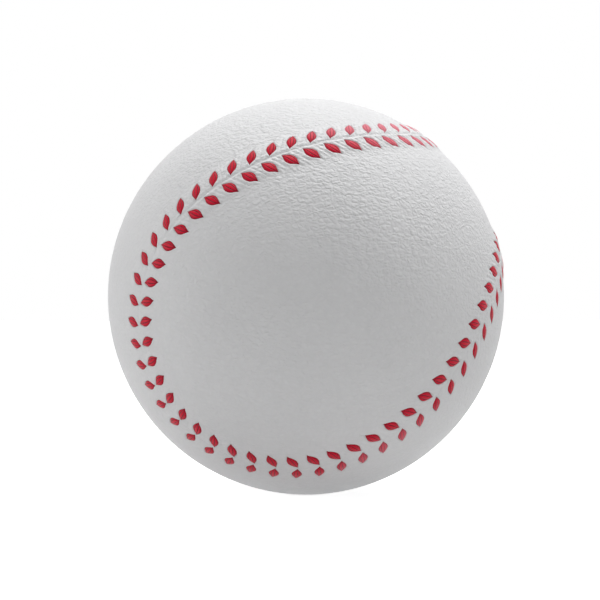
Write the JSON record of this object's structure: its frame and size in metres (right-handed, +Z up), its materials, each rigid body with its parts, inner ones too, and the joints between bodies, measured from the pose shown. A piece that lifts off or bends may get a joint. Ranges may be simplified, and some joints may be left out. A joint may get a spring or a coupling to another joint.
{
  "type": "baseball",
  "caption": "Stitched leather baseball: a cork and rubber pill, wool windings, and a two-panel white cover sewn with a double row of red stitches.",
  "frame": {"origin": "the middle of the ball", "axes": "+Z up through the ball as it lies in the picture, +X to the right and -Y towards the viewer; -Z points down to the spot that the ball rests on"},
  "size_m": [0.074, 0.0735, 0.0738],
  "materials": {
    "cork": "pressed cork and rubber, matt, tan-brown",
    "black_rubber": "moulded black rubber, satin",
    "red_rubber": "moulded red rubber, satin",
    "grey_wool": "wound four-ply and three-ply grey wool yarn",
    "white_wool": "wound three-ply white wool yarn",
    "finish_yarn": "wound fine white cotton and polyester yarn",
    "cover_leather": "white tanned leather with a fine grain, matt",
    "red_thread": "waxed red thread, twisted from a few strands"
  },
  "bodies": {
    "root": {"cork_centre": "cork", "inner_rubber_cup_upper": "black_rubber", "inner_rubber_cup_lower": "black_rubber", "rubber_gasket": "red_rubber", "outer_rubber_cup_upper": "red_rubber", "outer_rubber_cup_lower": "red_rubber", "first_winding": "grey_wool", "second_winding": "white_wool", "third_winding": "grey_wool", "finish_winding": "finish_yarn", "cover_panel_a": "cover_leather", "cover_panel_b": "cover_leather", "stitch_thread_a": "red_thread", "stitch_thread_b": "red_thread"}
  },
  "joints": []
}
